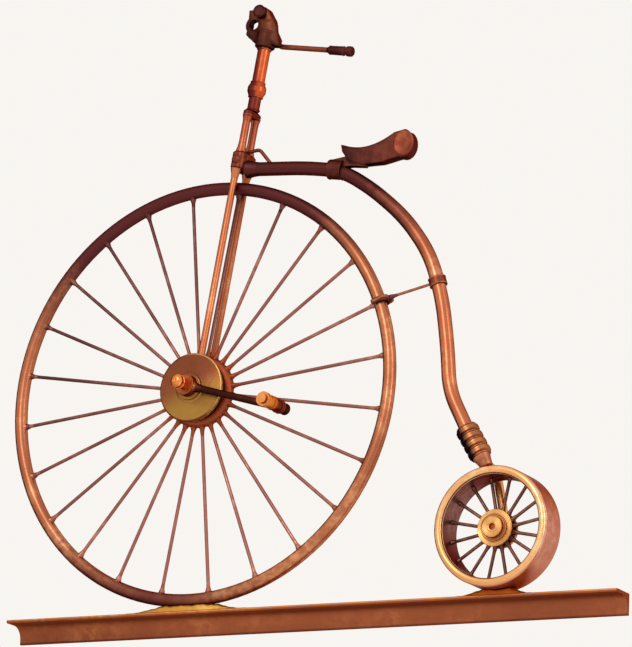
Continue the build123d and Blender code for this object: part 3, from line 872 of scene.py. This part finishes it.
def make_hook_strap():
    """The stay's open strap, which passes round the big rim's tube and leaves the spokes room inside."""
    # Distance from the tube's middle and height across the strap
    section = ((7.2, -1.7), (7.6, -2.3), (9.3, -2.3), (9.8, -1.7), (9.8, 1.7), (9.3, 2.3), (7.6, 2.3),
               (7.2, 1.7))
    # Distances along the wire and radii
    root = ((-1, 2.2), (1.4, 2.4), (3, 2.1), (6, 1.6), (9, 1.32))
    half_angle = 122
    step = 4
    outward = round_wheel(-STAY_ANGLE)
    upward = TO_WALL.cross(outward)
    tube = WHEEL + outward * TUBE_MIDDLE * MM
    bend = WHEEL + outward * HOOK_REACH * MM
    with Piece("hook_strap", "frame", "hook_copper", "aged_copper") as mesh:
        rows = []
        for turn in range(-half_angle, half_angle + 1, step):
            way = outward * cos(radians(turn)) + TO_WALL * sin(radians(turn))
            rows.append([mesh.verts.new(tube + (way * reach + upward * rise) * MM)
                         for reach, rise in section])
        skin_on(mesh, rows, ends=True)
        turn_on(mesh, root, bend, from_wheel(*STAY_COLLAR) - bend, sides=20, lumps=0.03)


def make_small_spoke_braze():
    """Braze that widens each small spoke into the ring and into the hub."""
    # Distances from the wheel's axis and radii
    foot = ((42.5, 1.52), (44.5, 1.75), (45.8, 2.1), (46.8, 2.6))
    root = ((12.8, 2.9), (15.5, 2.4), (19, 1.7), (21, 1.52))
    with Piece("small_spoke_braze", "rear_wheel", "small_spoke_brass", "brass") as mesh:
        for way in spoke_ways(REAR_SPOKES, 180 / REAR_SPOKES):
            for flare in (foot, root):
                turn_on(mesh, flare, REAR, way, sides=14, lumps=0.05)


def make_ring_lips():
    """Rounded lips on both edges of the small wheel's ring."""
    # Radii and depths from the wheel's plane, of the near lip
    lip = ((46.2, -18), (46.5, -19.5), (47.6, -20.8), (49.8, -21.4), (52, -20.8), (53.1, -19.5),
           (53.4, -18))
    ring_middle = -4
    with Piece("ring_lips", "rear_wheel", "ring_brass", "brass") as mesh:
        ring_on(mesh, REAR, lip)
        ring_on(mesh, REAR, [(radius, 2 * ring_middle - depth) for radius, depth in lip])


def make_small_hub_rings():
    """The turned steps of the small wheel's hub."""
    # Depth, radius and thickness
    steps = ((5.6, 15.2, 0.6), (-9, 15.9, 0.7), (-11.6, 11.8, 0.6), (-14.7, 9.2, 0.6), (-14.9, 4.2, 0.5))
    with Piece("small_hub_rings", "rear_wheel", "small_hub_brass", "brass") as mesh:
        for depth, radius, thick in steps:
            bead_on(mesh, circle(REAR + TO_WALL * depth * MM, TO_WALL, radius, 64), thick)


def under_big_wheel(x, y):
    """Room on the shelf under the big wheel's tube, less the gap that it keeps."""
    tube = RIM_TUBE / 2 + REST_GAP
    off = y - WHEEL.y / MM
    if abs(off) >= tube:
        return inf
    middle = WHEEL.z / MM - SHELF
    return middle - ((TUBE_MIDDLE + (tube ** 2 - off ** 2) ** 0.5) ** 2 - x ** 2) ** 0.5


def under_small_wheel(x, y):
    """Room on the shelf under the small wheel, less the gap that it keeps."""
    middle = REAR.z / MM - SHELF
    return middle - ((REAR_RADIUS + REST_GAP) ** 2 - x ** 2) ** 0.5


def mound_on(mesh, middle, half_length, near, far, under_wheel):
    """Adds a run of braze on the shelf: full under the wheel and drawn out at both ends."""
    along_steps = 80
    across_steps = 22
    full_height = 7
    sloping_share = 0.72
    swell = random.uniform(0, 6)
    drift = random.uniform(0, 6)
    rows = []
    for i in range(along_steps + 1):
        x = half_length * (2 * i / along_steps - 1)
        share = min((half_length - abs(x)) / (half_length * sloping_share), 1)
        rise = full_height * share * share * (3 - 2 * share)
        row = []
        for j in range(across_steps + 1):
            u = 2 * j / across_steps - 1
            y = near + (far - near) * (u + 1) / 2
            lump = 1 + 0.07 * sin(x * 0.33 + swell) + 0.05 * sin(x * 0.81 + u * 3 + drift)
            z = rise * (1 - abs(u) ** 2.6) ** 0.6 * lump
            z = max(min(z, under_wheel(x, y)), 0)
            row.append(mesh.verts.new(Vector((middle.x + x * MM, y * MM, (SHELF + z) * MM))))
        rows.append(row)
    for low, high in zip(rows, rows[1:]):
        for j in range(across_steps):
            mesh.faces.new((low[j], high[j], high[j + 1], low[j + 1]))
    far_edge = [row[-1] for row in rows[1:-1]]
    near_edge = [row[0] for row in rows[-2:0:-1]]
    mesh.faces.new(rows[0] + far_edge + rows[-1][::-1] + near_edge)


def make_rests():
    """Each wheel's rest, a lumpy run of yellow braze on the shelf."""
    near = SHELF_EDGE + 0.2
    # Name, node that it stands for, wheel's centre, half length, far edge and room under the wheel
    for name, node, middle, half_length, far, under_wheel in (
            ("front_rest_braze", "front_rest", WHEEL, 62, -13.5, under_big_wheel),
            ("rear_rest_braze", "rear_rest", REAR, 35, -10.4, under_small_wheel)):
        with Piece(name, "frame", "rest_brass", "brass") as mesh:
            mound_on(mesh, middle, half_length, near, far, under_wheel)
        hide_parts(node)


def light(name, place, size, power, colour):
    lamp = bpy.data.lights.new(name, "AREA")
    lamp.shape = "RECTANGLE"
    lamp.size, lamp.size_y = size
    lamp.energy = power
    lamp.color = colour
    holder = bpy.data.objects.new(name, lamp)
    holder.location = place
    holder.rotation_euler = (LAMP_AIM - Vector(place)).to_track_quat("-Z", "Y").to_euler()
    bpy.context.scene.collection.objects.link(holder)


def panel(name, colour, corners, top=None):
    """A matte sheet of the studio: flat on the floor, or standing on it where it has a top."""
    points = [(x, y, FLOOR) for x, y in corners]
    if top:
        points += [(x, y, top) for x, y in reversed(corners)]
    data = bpy.data.meshes.new(name)
    data.from_pydata(points, [], [range(4)])
    sheet = bpy.data.objects.new(name, data)
    bpy.context.scene.collection.objects.link(sheet)
    matte = Finish(name + "_matte", Roughness=0.9)
    matte.shader.inputs["Base Color"].default_value = tone(colour)
    data.materials.append(matte.material)
    return sheet


def set_studio():
    """A pale room with a pale floor, soft lamps, and dark cards that give the metal its dark edges."""
    scene = bpy.context.scene
    scene.view_settings.view_transform = "Standard"
    world = bpy.data.worlds.new("pale_studio")
    world.use_nodes = True
    scene.world = world
    background = world.node_tree.nodes["Background"]
    background.inputs["Color"].default_value = tone("#fffcf8")
    background.inputs["Strength"].default_value = 0.94

    for name, lamp in LAMPS.items():
        light(name, *lamp)
    panel("floor", "#eeebe6", [(-REACH, -REACH), (REACH, -REACH), (REACH, REACH), (-REACH, REACH)])
    for number, foot in enumerate(CARDS):
        card = panel("card_%d" % number, "#2c2724", foot, CARD_TOP)
        card.visible_camera = False
        card.visible_shadow = False
        card.visible_diffuse = False


def set_camera():
    turn, rise, roll = (radians(angle) for angle in (CAMERA_TURN, CAMERA_RISE, CAMERA_ROLL))
    back = Vector((sin(turn) * cos(rise), -cos(turn) * cos(rise), sin(rise)))
    level = Vector((cos(turn), sin(turn), 0))
    up = level.cross(-back)
    right = level * cos(roll) + up * sin(roll)
    top = up * cos(roll) - level * sin(roll)
    place = WHEEL + back * CAMERA_DISTANCE
    depth = (place - WHEEL - right * AIM_RIGHT - top * AIM_UP).normalized()
    side = top.cross(depth).normalized()
    data = bpy.data.cameras.new("camera")
    data.lens = LENS
    camera = bpy.data.objects.new("camera", data)
    axes = Matrix((side, depth.cross(side), depth)).transposed().to_4x4()
    camera.matrix_world = Matrix.Translation(place) @ axes
    bpy.context.scene.collection.objects.link(camera)
    bpy.context.scene.camera = camera


set_camera()
set_studio()
dress_nodes()
make_spoke_braze()
make_cap()
make_stub_end()
make_crank()
make_pedal_rings()
make_blade_flares()
make_rod_flares()
make_column_rings()
make_lug_rivet()
make_backbone_flare()
make_head_web()
make_head_rings()
make_grip_rings()
make_saddle_welt()
make_roll_ends()
make_band_edges()
make_sleeve_ribs()
make_sleeve_socket()
make_stay_rings()
make_hook_strap()
make_small_spoke_braze()
make_ring_lips()
make_small_hub_rings()
make_rests()
